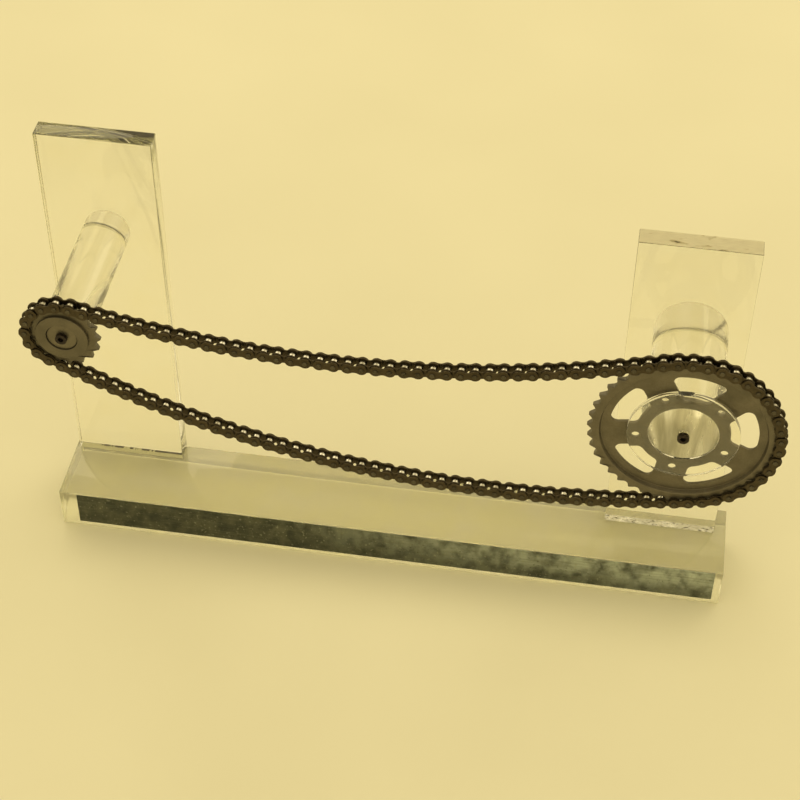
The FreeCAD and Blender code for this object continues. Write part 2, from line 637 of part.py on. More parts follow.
pin_foot = [(0, -pin_half), (bevel_r, -pin_half), (pin_r, -bevel_at)]
pin_head = [(pin_r, bevel_at), (bevel_r, pin_half), (0, pin_half)]
pin_master = turned("pin_form", pin_foot + pin_head)
open_pin_master = turned("open_pin_form", pin_foot + [
    (pin_r, -waist_half), (waist_r, -waist_half), (waist_r, waist_half), (pin_r, waist_half)]
    + pin_head)
bush_master = turned("bush_form", [(bush_in, -bush_half), (bush_out, -bush_half),
                                   (bush_out, bush_half), (bush_in, bush_half)])
roller_master = turned("roller_form", [
    (roller_in, -roller_half), (roller_out - roller_edge, -roller_half),
    (roller_out, -roller_half + roller_edge), (roller_out, roller_half - roller_edge),
    (roller_out - roller_edge, roller_half), (roller_in, roller_half)])
for master in (outer_master, inner_master, pin_master, open_pin_master, bush_master, roller_master):
    master.Visibility = False
doc.recompute()


# ---------------------------------------------------------------- laying the chain

def at_pin(index, y):
    x, z = pins[index % TOTAL]
    return Placement(Vector(x, S["chain_y"] + y, z), FACE_FRONT)


def at_link(index, y):
    a, b = pins[index % TOTAL], pins[(index + 1) % TOTAL]
    turn = math.degrees(math.atan2(b[1] - a[1], b[0] - a[0]))
    middle = Vector((a[0] + b[0]) / 2.0, S["chain_y"] + y, (a[1] + b[1]) / 2.0)
    return Placement(middle, FACE_FRONT.multiply(Rotation(Vector(0, 0, 1), turn)))


def copies(master, placements):
    solids = []
    for placement in placements:
        shape = master.Shape.Solids[0].copy()
        shape.Placement = placement
        solids.append(shape)
    return solids


def group(name, solids):
    feature = doc.addObject("Part::Feature", name)
    feature.Shape = Part.makeCompound(solids)
    return feature


inner_y = S["inner_width"] / 2.0 + S["plate_thick"] / 2.0
outer_y = inner_y + S["plate_thick"] + S["plate_gap"]
for name, first, count in STRETCHES:
    outer_links = [i for i in range(first, first + count) if i % 2 == 0]
    inner_links = [i for i in range(first, first + count) if i % 2 == 1]
    pin_places = sorted(set(i + e for i in outer_links for e in (0, 1)))
    roller_places = sorted(set(i + e for i in inner_links for e in (0, 1)))
    group(name + "_outer_plates",
          copies(outer_master, [at_link(i, y) for i in outer_links for y in (-outer_y, outer_y)]))
    group(name + "_inner_plates",
          copies(inner_master, [at_link(i, y) for i in inner_links for y in (-inner_y, inner_y)]))
    group(name + "_pins",
          copies(pin_master, [at_pin(i, 0) for i in pin_places if i not in OPEN_PINS])
          + copies(open_pin_master, [at_pin(i, 0) for i in pin_places if i in OPEN_PINS]))
    group(name + "_bushes", copies(bush_master, [at_pin(i, 0) for i in roller_places]))
    group(name + "_rollers", copies(roller_master, [at_pin(i, 0) for i in roller_places]))

doc.recompute()

# ---------------------------------------------------------------- check and export

NODES = ["base_block", "front_strip", "right_upright", "left_upright", "right_boss", "left_boss",
         "wheel_keeper", "wheel_screw", "pinion_bush", "pinion_washer", "pinion_screw",
         "big_sprocket", "small_sprocket"]
NODES += [name + "_" + kind for name, first, count in STRETCHES
          for kind in ("outer_plates", "inner_plates", "pins", "bushes", "rollers")]

for obj in doc.Objects:
    if "Invalid" in obj.State or "Error" in obj.State:
        raise RuntimeError("feature %s: %s" % (obj.Name, obj.State))

os.makedirs("parts", exist_ok=True)
for node in NODES:
    obj = doc.getObject(node)
    obj.Label = node
    shape = obj.Shape
    if shape.isNull() or not shape.isValid() or not shape.Solids:
        raise RuntimeError("bad shape in " + node)
    shape.exportStep("parts/%s.step" % node)

print("pins %d, lower arc %.1f mm, upper arc %.1f mm" % (TOTAL, lower_arc_radius, upper_arc_radius))
print("pitch radii %.3f and %.3f mm" % (wheel_radius, pinion_radius))
for label, index in (("upper strand hinge", 0), ("lower strand hinge", WHEEL_LINKS),
                     ("lower open pin", OPEN_PINS[0]), ("upper open pin", OPEN_PINS[1])):
    print("%s: X %.5f Z %.5f" % ((label,) + pins[index]))
print("pinion axis: X %.5f Z %.5f" % pinion_centre)
for name in ("wheel_keeper", "wheel_screw", "pinion_screw", "right_boss", "left_boss", "big_sprocket"):
    box = doc.getObject(name).Shape.BoundBox
    print("%s: Y %.3f to %.3f" % (name, box.YMin, box.YMax))
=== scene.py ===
"""Looks of the roller chain and its clear stand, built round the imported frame. Lengths in metres."""
import math
import random

import bmesh
import bpy
from mathutils import Matrix, Vector
from mathutils.geometry import tessellate_polygon


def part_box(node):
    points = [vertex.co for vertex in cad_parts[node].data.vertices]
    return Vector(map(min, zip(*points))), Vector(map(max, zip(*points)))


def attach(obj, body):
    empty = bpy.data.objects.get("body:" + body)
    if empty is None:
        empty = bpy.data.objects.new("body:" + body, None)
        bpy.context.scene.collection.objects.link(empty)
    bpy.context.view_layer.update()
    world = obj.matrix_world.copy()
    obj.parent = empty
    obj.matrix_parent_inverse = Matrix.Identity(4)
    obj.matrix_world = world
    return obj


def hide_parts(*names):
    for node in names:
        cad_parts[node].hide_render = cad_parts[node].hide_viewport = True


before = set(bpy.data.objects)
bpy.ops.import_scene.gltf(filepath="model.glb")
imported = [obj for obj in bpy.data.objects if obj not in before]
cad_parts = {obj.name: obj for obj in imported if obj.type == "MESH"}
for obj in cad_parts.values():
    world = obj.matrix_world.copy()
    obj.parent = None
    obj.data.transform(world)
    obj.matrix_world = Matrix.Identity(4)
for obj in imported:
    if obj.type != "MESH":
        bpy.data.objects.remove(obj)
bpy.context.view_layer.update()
scene = bpy.context.scene
MM = 0.001
NEAR = 1e-6  # points this close count as one place
ACRYLIC_IOR = 1.49
FRONT = Matrix.Rotation(math.pi / 2, 4, "X")  # turns a drawing's z to the front

# ---------------------------------------------------------------- driving sizes, as in the CAD

PITCH = 12.7 * MM
WHEEL_TEETH, PINION_TEETH = 42, 17
WHEEL_LINKS, LOWER_LINKS, PINION_LINKS, UPPER_LINKS = 22, 48, 8, 42
TOTAL = WHEEL_LINKS + LOWER_LINKS + PINION_LINKS + UPPER_LINKS
WHEEL_START, PINION_START = math.radians(107.8), math.radians(243.08)
STRETCHES = [("wheel_wrap", 0, WHEEL_LINKS, "big_sprocket_and_wrap"),
             ("lower_strand", WHEEL_LINKS, LOWER_LINKS, "lower_strand"),
             ("pinion_wrap", WHEEL_LINKS + LOWER_LINKS, PINION_LINKS, "small_sprocket_and_wrap"),
             ("upper_strand", TOTAL - UPPER_LINKS, UPPER_LINKS, "upper_strand")]
OPEN_PINS = (WHEEL_LINKS + LOWER_LINKS, TOTAL - UPPER_LINKS)
ROLLER_R, ROLLER_BORE_R, ROLLER_HALF = 3.885 * MM, 2.925 * MM, 3.1 * MM
BUSH_R, BUSH_BORE_R = 2.825 * MM, 2.03 * MM
PIN_R, PIN_HALF, PIN_WAIST_R = 1.98 * MM, 7.35 * MM, 1.0 * MM
PLATE_THICK, INNER_HALF, PLATE_GAP = 1.5 * MM, 3.2 * MM, 0.1 * MM
INNER_ROUND, OUTER_ROUND, WAIST = 5.95 * MM, 5.45 * MM, 3.7 * MM
TOOTH_HALF, TIP_RISE, SEAT_R, SEAT_HALF = 2.95 * MM, 0.5 * MM, 4.3 * MM, math.radians(50)
TOOTH_TAPER, TOOTH_BEVEL, SPROCKET_EDGE = 3.0 * MM, 1.3 * MM, 0.3 * MM
SPOKES, SPOKE_START = 5, math.radians(10.2)
SPOKE_HALF, WINDOW_OUT, WINDOW_IN, WINDOW_FILLET = 14 * MM, 66 * MM, 41 * MM, 6 * MM
WEB_R, WEB_LEAN, BOLT_CIRCLE_R, BOLT_R = 74.5 * MM, 1.2 * MM, 42.2 * MM, 3.5 * MM
WEB_FRONT, WEB_THICK, KEEPER_THICK = TOOTH_HALF - 4.2 * MM, 3.0 * MM, 5.6 * MM
HUB_R, HUB_HEIGHT, HUB_RECESS_R, HUB_RECESS_DEPTH = 24.5 * MM, 3.1 * MM, 14.5 * MM, 2.3 * MM
WHEEL_BORE_R, SPIGOT_R = 31.3 * MM, 31.25 * MM
PINION_BORE_R, PINION_BUSH_R, WASHER_R = 10.05 * MM, 10.0 * MM, 13.9 * MM
HEAD_R, HEAD_HEIGHT, SHANK_R, SCREW_HOLE_R = 5.4 * MM, 3.8 * MM, 3.5 * MM, 3.55 * MM
SOCKET_FLATS, SOCKET_DEPTH, SCREW_HOLE_DEPTH = 5 * MM, 2.5 * MM, 16 * MM
BOSS_SHOULDER = 4.5 * MM


def middle_of(node):
    low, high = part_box(node)
    return (low + high) / 2


WHEEL = middle_of("wheel_keeper")
PINION = middle_of("pinion_washer")
CHAIN_Y = middle_of("lower_strand_rollers").y


def pitch_radius(teeth):
    return PITCH / (2 * math.sin(math.pi / teeth))


WHEEL_R, PINION_R = pitch_radius(WHEEL_TEETH), pitch_radius(PINION_TEETH)

# ---------------------------------------------------------------- pins of the chain, clockwise


def on_circle(centre, radius, angle):
    return Vector((centre.x + radius * math.cos(angle), centre.z + radius * math.sin(angle)))


def hanging_arc(start, end, links):
    """Pins between two end pins, on the circular arc below them whose chords are all one pitch."""
    span = (end - start).length
    low, high = 1e-6, math.pi / 2
    for _ in range(80):
        half = (low + high) / 2
        if PITCH * math.sin(half) / math.sin(half / links) > span:
            low = half
        else:
            high = half
    radius = PITCH / (2 * math.sin(half / links))
    along = (end - start) / span
    up = Vector((-along.y, along.x)) if along.x > 0 else Vector((along.y, -along.x))
    centre = (start + end) / 2 + up * radius * math.cos(half)
    a = math.atan2(*(start - centre).yx)
    turn = 2 * half / links * (1 if along.x > 0 else -1)
    return [centre + Vector((math.cos(a + turn * i), math.sin(a + turn * i))) * radius
            for i in range(links + 1)]


wheel_pins = [on_circle(WHEEL, WHEEL_R, WHEEL_START - math.tau * i / WHEEL_TEETH)
              for i in range(WHEEL_LINKS + 1)]
pinion_pins = [on_circle(PINION, PINION_R, PINION_START - math.tau * i / PINION_TEETH)
               for i in range(PINION_LINKS + 1)]
lower_pins = hanging_arc(wheel_pins[-1], pinion_pins[0], LOWER_LINKS)
upper_pins = hanging_arc(pinion_pins[-1], wheel_pins[0], UPPER_LINKS)
pins = wheel_pins[:-1] + lower_pins[:-1] + pinion_pins[:-1] + upper_pins[:-1]

# ---------------------------------------------------------------- outlines and mesh helpers
# Outlines and turned profiles are drawn facing the front: local x is +X, y is +Z, z is -Y.


def arc(centre, radius, start, end, steps):
    return [Vector((centre[0] + radius * math.cos(start + (end - start) * i / steps),
                    centre[1] + radius * math.sin(start + (end - start) * i / steps)))
            for i in range(steps + 1)]


def circle(centre, radius, steps):
    return arc(centre, radius, 0, math.tau, steps)[:-1]


def round_corners(points, radius, steps=3, closed=False):
    """The polyline with each corner replaced by a small curve."""
    points = [Vector(p) for p in points]
    out = []
    count = len(points)
    for i, p in enumerate(points):
        if not closed and i in (0, count - 1):
            out.append(p)
            continue
        before, after = points[i - 1], points[(i + 1) % count]
        cut = min(radius, 0.45 * (before - p).length, 0.45 * (after - p).length)
        a, b = p + (before - p).normalized() * cut, p + (after - p).normalized() * cut
        for k in range(steps + 1):
            t = k / steps
            out.append(a * (1 - t) ** 2 + p * 2 * t * (1 - t) + b * t * t)
    return out


def shifted(loop, distance):
    """The closed loop moved to its left by a distance, each point along its own normal."""
    out = []
    for i, p in enumerate(loop):
        along = (loop[(i + 1) % len(loop)] - loop[i - 1]).normalized()
        out.append(p + Vector((-along.y, along.x)) * distance)
    return out


def wall(bm, loop, low, high, edge=0.0):
    """Side wall along a closed loop, solid on its left, with rounded edges. Returns both rims."""
    steps = 3
    bend = [math.pi / 2 * k / steps for k in range(steps + 1)] if edge else [math.pi / 2]
    rows = [(edge * (1 - math.sin(t)), low + edge * (1 - math.cos(t))) for t in bend]
    rows += [(edge * (1 - math.sin(t)), high - edge * (1 - math.cos(t))) for t in reversed(bend)]
    rings = [[bm.verts.new((p.x, p.y, z)) for p in shifted(loop, inset)] for inset, z in rows]
    join(bm, rings)
    return rings[0], rings[-1]


def join(bm, rings):
    for a, b in zip(rings, rings[1:]):
        for i in range(len(a)):
            k = (i + 1) % len(a)
            bm.faces.new((a[i], a[k], b[k], b[i]))


def cap(bm, rims):
    """Flat face between an outer rim and any rims inside it."""
    verts = [v for rim in rims for v in rim]
    for triangle in tessellate_polygon([[v.co for v in rim] for rim in rims]):
        bm.faces.new([verts[i] for i in triangle])


def face_front(bm, centre):
    """Turns a drawing so that its z points to the front, and puts it in place."""
    bmesh.ops.transform(bm, matrix=Matrix.Translation(centre) @ FRONT, verts=bm.verts)


def lathe(bm, profile, steps, closed=True):
    """Turned solid about local z from (radius, z) points. An open profile starts and ends on the axis."""
    rings = []
    for r, z in profile:
        if r < NEAR:
            rings.append([bm.verts.new((0, 0, z))])
        else:
            rings.append([bm.verts.new((r * math.cos(math.tau * i / steps),
                                        r * math.sin(math.tau * i / steps), z))
                          for i in range(steps)])
    pairs = list(zip(rings, rings[1:])) + ([(rings[-1], rings[0])] if closed else [])
    for a, b in pairs:
        for i in range(steps):
            k = (i + 1) % steps
            if len(a) == 1:
                bm.faces.new((a[0], b[i], b[k]))
            elif len(b) == 1:
                bm.faces.new((a[i], a[k], b[0]))
            else:
                bm.faces.new((a[i], a[k], b[k], b[i]))


def finish_mesh(bm, name):
    bmesh.ops.recalc_face_normals(bm, faces=bm.faces)
    mesh = bpy.data.meshes.new(name)
    bm.to_mesh(mesh)
    bm.free()
    return mesh


def add_piece(name, mesh, body, slot, *materials, node):
    """Puts a finished mesh in the scene, riding on its body and standing for its CAD node."""
    obj = bpy.data.objects.new(name, mesh)
    scene.collection.objects.link(obj)
    for material in materials:
        mesh.materials.append(material)
    mesh.shade_smooth()
    mesh.set_sharp_from_angle(angle=math.radians(35))
    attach(obj, body)
    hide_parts(node)


# ---------------------------------------------------------------- materials


class Shader:
    """A material with a Principled shader, and short calls for the nodes that feed it."""

    def __init__(self, name, **constants):
        self.material = bpy.data.materials.new(name)
        self.material.use_nodes = True
        self.nodes = self.material.node_tree.nodes
        self.links = self.material.node_tree.links
        self.nodes.clear()
        self.output = self.nodes.new("ShaderNodeOutputMaterial")
        self.bsdf = self.nodes.new("ShaderNodeBsdfPrincipled")
        self.links.new(self.bsdf.outputs[0], self.output.inputs["Surface"])
        for key, value in constants.items():
            self.bsdf.inputs[key.replace("_", " ")].default_value = value
        self.place = self.nodes.new("ShaderNodeTexCoord").outputs["Object"]

    def set(self, socket, value):
        self.links.new(value, self.bsdf.inputs[socket])

    def noise(self, scale, detail=4.0, stretch=(1, 1, 1), distort=0.0):
        mapping = self.nodes.new("ShaderNodeMapping")
        mapping.inputs["Scale"].default_value = stretch
        self.links.new(self.place, mapping.inputs["Vector"])
        node = self.nodes.new("ShaderNodeTexNoise")
        node.inputs["Scale"].default_value = scale
        node.inputs["Detail"].default_value = detail
        node.inputs["Distortion"].default_value = distort
        self.links.new(mapping.outputs[0], node.inputs["Vector"])
        return node.outputs["Fac"]

    def cells(self, scale):
        node = self.nodes.new("ShaderNodeTexVoronoi")
        node.inputs["Scale"].default_value = scale
        self.links.new(self.place, node.inputs["Vector"])
        return node.outputs["Distance"]

    def axis(self, which):
        node = self.nodes.new("ShaderNodeSeparateXYZ")
        self.links.new(self.place, node.inputs[0])
        return node.outputs[which]

    def math(self, kind, a, b=0.0):
        node = self.nodes.new("ShaderNodeMath")
        node.operation = kind
        for socket, value in zip(node.inputs, (a, b)):
            if isinstance(value, (int, float)):
                socket.default_value = value
            else:
                self.links.new(value, socket)
        return node.outputs[0]

    def radius(self, centre):
        """Distance from a front-to-back axis through a centre."""
        dx = self.math("SUBTRACT", self.axis("X"), centre.x)
        dz = self.math("SUBTRACT", self.axis("Z"), centre.z)
        return self.math("SQRT", self.math("ADD", self.math("MULTIPLY", dx, dx),
                                           self.math("MULTIPLY", dz, dz)))

    def span(self, value, low, high, out_low=0.0, out_high=1.0):
        node = self.nodes.new("ShaderNodeMapRange")
        self.links.new(value, node.inputs["Value"])
        for socket, number in zip(("From Min", "From Max", "To Min", "To Max"),
                                  (low, high, out_low, out_high)):
            node.inputs[socket].default_value = number
        return node.outputs["Result"]

    def mix(self, factor, a, b):
        node = self.nodes.new("ShaderNodeMix")
        node.data_type = "RGBA"
        for socket, value in ((node.inputs[0], factor), (node.inputs[6], a), (node.inputs[7], b)):
            if isinstance(value, (int, float)):
                socket.default_value = value
            elif isinstance(value, tuple):
                socket.default_value = (*value, 1.0)
            else:
                self.links.new(value, socket)
        return node.outputs[2]

    def tone(self):
        """The random shade stored on each solid of a group."""
        node = self.nodes.new("ShaderNodeAttribute")
        node.attribute_name = "tone"
        return node.outputs["Fac"]

    def bump(self, height, strength, distance):
        node = self.nodes.new("ShaderNodeBump")
        node.inputs["Strength"].default_value = strength
        node.inputs["Distance"].default_value = distance
        self.links.new(height, node.inputs["Height"])
        self.set("Normal", node.outputs[0])


def tinted_inside(s, density=0.35):
    """Adds the faint yellow-green body tint of the clear plastic to a shader."""
    absorb = s.nodes.new("ShaderNodeVolumeAbsorption")
    absorb.inputs["Color"].default_value = (0.80, 0.82, 0.40, 1.0)
    absorb.inputs["Density"].default_value = density
    s.links.new(absorb.outputs[0], s.output.inputs["Volume"])


def clear_acrylic(name, clarity, tint, density=0.35):
    """Polished clear plastic with faint smears. Less clarity gives a haze."""
    s = Shader(name, IOR=ACRYLIC_IOR, Transmission_Weight=clarity)
    tinted_inside(s, density)
    smears = s.noise(22, 5, distort=0.6)
    s.set("Base Color", s.mix(s.span(smears, 0.4, 0.8), tint, (0.985, 0.97, 0.88)))
    s.set("Roughness", s.span(smears, 0.5, 0.8, 0.0, 0.08))
    s.bump(s.noise(9, 2), 0.05, 2 * MM)
    return s.material


def sawn_acrylic():
    """Frosted saw-cut face with a few dark chips near its middle."""
    s = Shader("sawn_acrylic", IOR=ACRYLIC_IOR)
    low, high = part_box("right_upright")
    grooves = s.noise(160, 6, stretch=(1, 9, 1))
    base = s.mix(s.span(grooves, 0.3, 0.7), (0.80, 0.74, 0.56), (0.92, 0.87, 0.68))
    middle = s.span(s.math("ABSOLUTE", s.math("SUBTRACT", s.axis("X"), (low.x + high.x) / 2)),
                    4 * MM, 24 * MM, 1.0, 0.0)
    chips = s.math("ADD", s.noise(120, 3, stretch=(0.5, 1, 1)), s.math("MULTIPLY", middle, 0.11))
    scars = s.mix(s.span(chips, 0.64, 0.72), base, (0.50, 0.42, 0.24))
    s.set("Base Color", s.mix(s.span(chips, 0.735, 0.76), scars, (0.06, 0.045, 0.02)))
    s.set("Transmission Weight", s.span(grooves, 0.3, 0.7, 0.55, 0.35))
    s.set("Roughness", s.span(grooves, 0.3, 0.7, 0.35, 0.6))
    s.bump(grooves, 0.35, 0.4 * MM)
    return s.material


def acrylic_joint():
    """Where two clear pieces are cemented together: light goes straight on."""
    s = Shader("acrylic_joint", Alpha=0.0)
    tinted_inside(s)
    return s.material


def rod_acrylic():
    """Clear round bar with faint lengthwise streaks from its drawing and polishing."""
    s = Shader("rod_acrylic", IOR=ACRYLIC_IOR, Transmission_Weight=0.93)
    tinted_inside(s)
    streaks = s.noise(55, 4, stretch=(1, 0.03, 1), distort=0.2)
    s.set("Base Color", s.mix(s.span(streaks, 0.36, 0.62), (0.86, 0.83, 0.66), (0.995, 0.995, 0.985)))
    s.set("Roughness", s.span(streaks, 0.4, 0.7, 0.10, 0.0))
    s.bump(streaks, 0.08, 1 * MM)
    return s.material


def turned_end():
    """Machined end of a clear cylinder: satin, with upright streaks left by polishing."""
    s = Shader("turned_end", IOR=ACRYLIC_IOR)
    streaks = s.noise(95, 5, stretch=(1, 1, 0.12), distort=0.3)
    s.set("Base Color", s.mix(s.span(streaks, 0.36, 0.64), (0.36, 0.33, 0.20), (0.92, 0.88, 0.70)))
    s.set("Transmission Weight", s.span(streaks, 0.3, 0.7, 0.40, 0.68))
    s.set("Roughness", s.span(streaks, 0.3, 0.7, 0.45, 0.18))
    s.bump(streaks, 0.1, 0.3 * MM)
    return s.material


def glue_froth():
    """Frothy glue seen through the clear foot: bubbles with a few dark specks."""
    s = Shader("glue_froth", IOR=ACRYLIC_IOR, Roughness=0.25)
    tinted_inside(s)
    foam = s.cells(420)
    specks = s.span(s.noise(260, 4), 0.545, 0.60)
    patches = s.math("ADD", s.noise(60, 5, distort=1.0), s.math("MULTIPLY", foam, 0.25))
    froth = s.span(patches, 0.45, 0.65, 0.0, 0.6)
    bubbles = s.mix(s.span(foam, 0.1, 0.6), (0.99, 0.97, 0.88), (0.80, 0.76, 0.58))
    s.set("Base Color", s.mix(specks, bubbles, (0.07, 0.055, 0.02)))
    clear = s.math("MULTIPLY", s.math("SUBTRACT", 1.0, specks), s.math("SUBTRACT", 1.0, froth))
    s.set("Transmission Weight", clear)
    s.bump(foam, 0.6, 0.6 * MM)
    return s.material


def seam_dirt():
    """Cement under the left upright's foot: clear, with a row of dark beads along its back edge."""
    s = Shader("seam_dirt", Roughness=0.5)
    tinted_inside(s)
    low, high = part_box("left_upright")
    along = s.span(s.axis("X"), low.x, high.x)
    back = s.span(s.axis("Y"), high.y - 7.6 * MM, high.y - 7.2 * MM)
    beads = s.math("ADD", s.noise(240, 1, stretch=(1, 0.02, 0.02)), s.math("MULTIPLY", along, 0.20))
    row = s.math("MULTIPLY", s.span(beads, 0.56, 0.59), s.span(along, 0.09, 0.11))
    s.set("Base Color", s.mix(s.noise(900, 3), (0.015, 0.010, 0.004), (0.08, 0.055, 0.02)))
    s.set("Alpha", s.math("MULTIPLY", row, back))
    return s.material


def sprocket_steel(name, centre, tip_radius, brightness=1.0):
    """Satin browned steel, greyer near the tooth tips, where the rollers wear it."""
    s = Shader(name, Metallic=0.72, IOR=1.6)
    r = s.radius(centre)
    blotch = s.noise(38, 5, distort=0.4)
    grain = s.noise(900, 3)
    dark_brown = tuple(c * brightness for c in (0.110, 0.097, 0.066))
    light_brown = tuple(c * brightness for c in (0.195, 0.170, 0.120))
    body = s.mix(s.span(blotch, 0.3, 0.72), dark_brown, light_brown)
    body = s.mix(s.span(grain, 0.35, 0.75, 0.0, 0.35), body, (0.07, 0.060, 0.038))
    worn = s.span(s.math("ADD", r, s.math("MULTIPLY", blotch, 1.5 * MM)),
                  tip_radius - 5.2 * MM, tip_radius - 2.2 * MM)
    body = s.mix(s.math("MULTIPLY", worn, 0.6), body, (0.16, 0.145, 0.115))
    s.set("Base Color", body)
    s.set("Roughness", s.span(s.math("ADD", s.math("MULTIPLY", blotch, 0.7),
                                     s.math("MULTIPLY", grain, 0.3)), 0.3, 0.7, 0.34, 0.50))
    s.bump(grain, 0.12, 0.2 * MM)
    return s.material


def chain_plate_steel(name, shade):
    """Dark oiled plates, each of a slightly different shade, with small rusty spots."""
    s = Shader(name, Metallic=0.85, IOR=1.6)
    film = s.noise(260, 5, distort=0.5)
    spots = s.noise(1300, 3)
    base = s.mix(s.span(film, 0.32, 0.7), tuple(c * 0.55 for c in shade), shade)
    base = s.mix(s.span(s.tone(), 0.0, 1.0, 0.0, 0.45), base, tuple(c * 0.5 for c in shade))
    base = s.mix(s.span(spots, 0.60, 0.72, 0.0, 0.7), base, (0.17, 0.125, 0.07))
    s.set("Base Color", base)
    s.set("Roughness", s.span(film, 0.3, 0.75, 0.24, 0.52))
    s.bump(spots, 0.25, 0.15 * MM)
    return s.material


def roller_steel():
    """Bright scuffed rollers, with painted shade at their ends next to the plates."""
    s = Shader("roller_steel", Metallic=1.0)
    depth = s.math("ABSOLUTE", s.math("SUBTRACT", s.axis("Y"), CHAIN_Y))
    scuff = s.noise(1500, 3, stretch=(1, 0.15, 1))
    bright = s.mix(s.span(s.tone(), 0.0, 1.0), (0.40, 0.38, 0.32), (0.72, 0.70, 0.64))
    bright = s.mix(s.span(scuff, 0.45, 0.75, 0.0, 0.5), bright, (0.20, 0.18, 0.14))
    # Painted shade: each roller darkens towards its ends, where it meets the plates.
    bright = s.mix(s.span(depth, 2.2 * MM, ROLLER_HALF), bright, (0.06, 0.05, 0.035))
    s.set("Base Color", bright)
    s.set("Roughness", s.span(scuff, 0.3, 0.75, 0.14, 0.34))
    s.bump(scuff, 0.1, 0.1 * MM)
    return s.material


def pin_steel():
    """Dark pins, each of a slightly different shade."""
    s = Shader("pin_steel", Metallic=0.95)
    spots = s.noise(1200, 3)
    s.set("Base Color", s.mix(s.span(s.math("ADD", spots, s.math("MULTIPLY", s.tone(), 0.3)), 0.4, 0.9),
                              (0.05, 0.043, 0.030), (0.13, 0.115, 0.085)))
    s.set("Roughness", s.span(spots, 0.3, 0.7, 0.25, 0.5))
    s.bump(spots, 0.2, 0.15 * MM)
    return s.material


def strip_metal():
    """Dull plated strip: dark and even at its left, frosted and mottled along its upper right, where a
    painted reflection lightens it.
    """
    s = Shader("strip_metal", Metallic=0.75)
    low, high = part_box("front_strip")
    cloud = s.noise(34, 6, distort=0.4)
    bloom = s.noise(110, 7, stretch=(0.7, 1, 0.5), distort=0.3)
    fleck = s.noise(330, 5)
    brush = s.noise(300, 4, stretch=(0.10, 1, 1.6))
    along = s.span(s.axis("X"), low.x, high.x)
    upper = s.span(s.math("ADD", s.axis("Z"), s.math("MULTIPLY", cloud, 22 * MM)),
                   low.z + 18 * MM, low.z + 42 * MM)
    # Painted reflection: lighter towards the right and the top, broken up by the strip's own frosted
    # mottling.
    frost_and_painted_reflection = s.math("MULTIPLY", s.span(along, 0.30, 0.88), s.span(upper, 0.0, 1.0, 0.25, 1.0))
    frost_and_painted_reflection = s.math("MULTIPLY", frost_and_painted_reflection, s.span(s.math("ADD", cloud, bloom), 0.80, 1.15, 0.15, 1.0))
    dull = s.mix(s.span(bloom, 0.38, 0.64), (0.046, 0.052, 0.040), (0.105, 0.110, 0.076))
    base = s.mix(frost_and_painted_reflection, dull, (0.50, 0.56, 0.49))
    base = s.mix(s.span(brush, 0.50, 0.72, 0.0, 0.45), base, (0.17, 0.18, 0.13))
    base = s.mix(s.span(fleck, 0.60, 0.70, 0.0, 0.55), base, (0.36, 0.36, 0.26))
    base = s.mix(s.span(fleck, 0.28, 0.38, 0.6, 0.0), base, (0.030, 0.030, 0.018))
    s.set("Base Color", base)
    s.set("Roughness", s.span(s.math("ADD", brush, s.math("MULTIPLY", fleck, 0.5)), 0.5, 1.0, 0.30, 0.52))
    s.bump(s.math("ADD", brush, fleck), 0.15, 0.2 * MM)
    return s.material


def black_screw():
    """Blackened screw, a little worn."""
    s = Shader("black_screw", Metallic=0.6)
    wear = s.noise(700, 4)
    s.set("Base Color", s.mix(s.span(wear, 0.45, 0.75), (0.012, 0.008, 0.006), (0.06, 0.04, 0.03)))
    s.set("Roughness", s.span(wear, 0.3, 0.7, 0.3, 0.5))
    s.bump(wear, 0.15, 0.2 * MM)
    return s.material


acrylic = clear_acrylic("clear_acrylic", 1.0, (0.998, 0.998, 0.97))
hazy_acrylic = clear_acrylic("hazy_acrylic", 0.74, (0.999, 0.98, 0.76), density=0.6)
joint_acrylic = acrylic_joint()
wheel_steel = sprocket_steel("wheel_steel", WHEEL, WHEEL_R + TIP_RISE)
pinion_steel = sprocket_steel("pinion_steel", PINION, PINION_R + TIP_RISE, 0.95)
washer_steel = sprocket_steel("washer_steel", PINION, 1.0, 1.15)
screw_black = black_screw()

# ---------------------------------------------------------------- clear stand

GAP = 0.05 * MM  # left between pieces that touch
FROTH_GAP = 0.35 * MM
POLISHED_EDGE = 1.0 * MM
JOINT, TOP, FOOT = 1, 2, 3  # material slots of a clear slab, after its body's


def cement_patch(bm, loop, facing, slot):
    """Cuts a closed loop out of the largest face looking along facing, and fills it in a material slot."""
    face = max((f for f in bm.faces if f.normal.dot(facing) > 0.9), key=lambda f: f.calc_area())
    inner = [bm.verts.new(p) for p in loop]
    outer = list(face.verts)
    material = face.material_index
    bmesh.ops.delete(bm, geom=[face], context="FACES_ONLY")
    before = set(bm.faces)
    cap(bm, [outer, inner])
    for f in set(bm.faces) - before:
        f.material_index = material
    bm.faces.new(inner).material_index = slot
    bm.normal_update()


def clear_slab(node, patch, materials, lift=0.0):
    """Polished block, lifted off what it stands on. The patch is a loop, its direction and its slot."""
    low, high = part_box(node)
    low = low + Vector((0, 0, lift))
    bm = bmesh.new()
    bmesh.ops.create_cube(bm, size=1.0)
    size, middle = high - low, (high + low) / 2
    bmesh.ops.transform(bm, matrix=Matrix.Translation(middle) @ Matrix.Diagonal((*size, 1)), verts=bm.verts)
    bmesh.ops.bevel(bm, geom=bm.edges[:], offset=POLISHED_EDGE, segments=3, profile=0.5, affect="EDGES")
    bm.normal_update()
    for face in bm.faces:
        if len(materials) > TOP and face.normal.z > 0.9:
            face.material_index = TOP
    loop, facing, slot = patch
    cement_patch(bm, loop, Vector(facing), slot)
    add_piece(node + "_polished", finish_mesh(bm, node), "stand", "clear_acrylic", *materials, node=node)


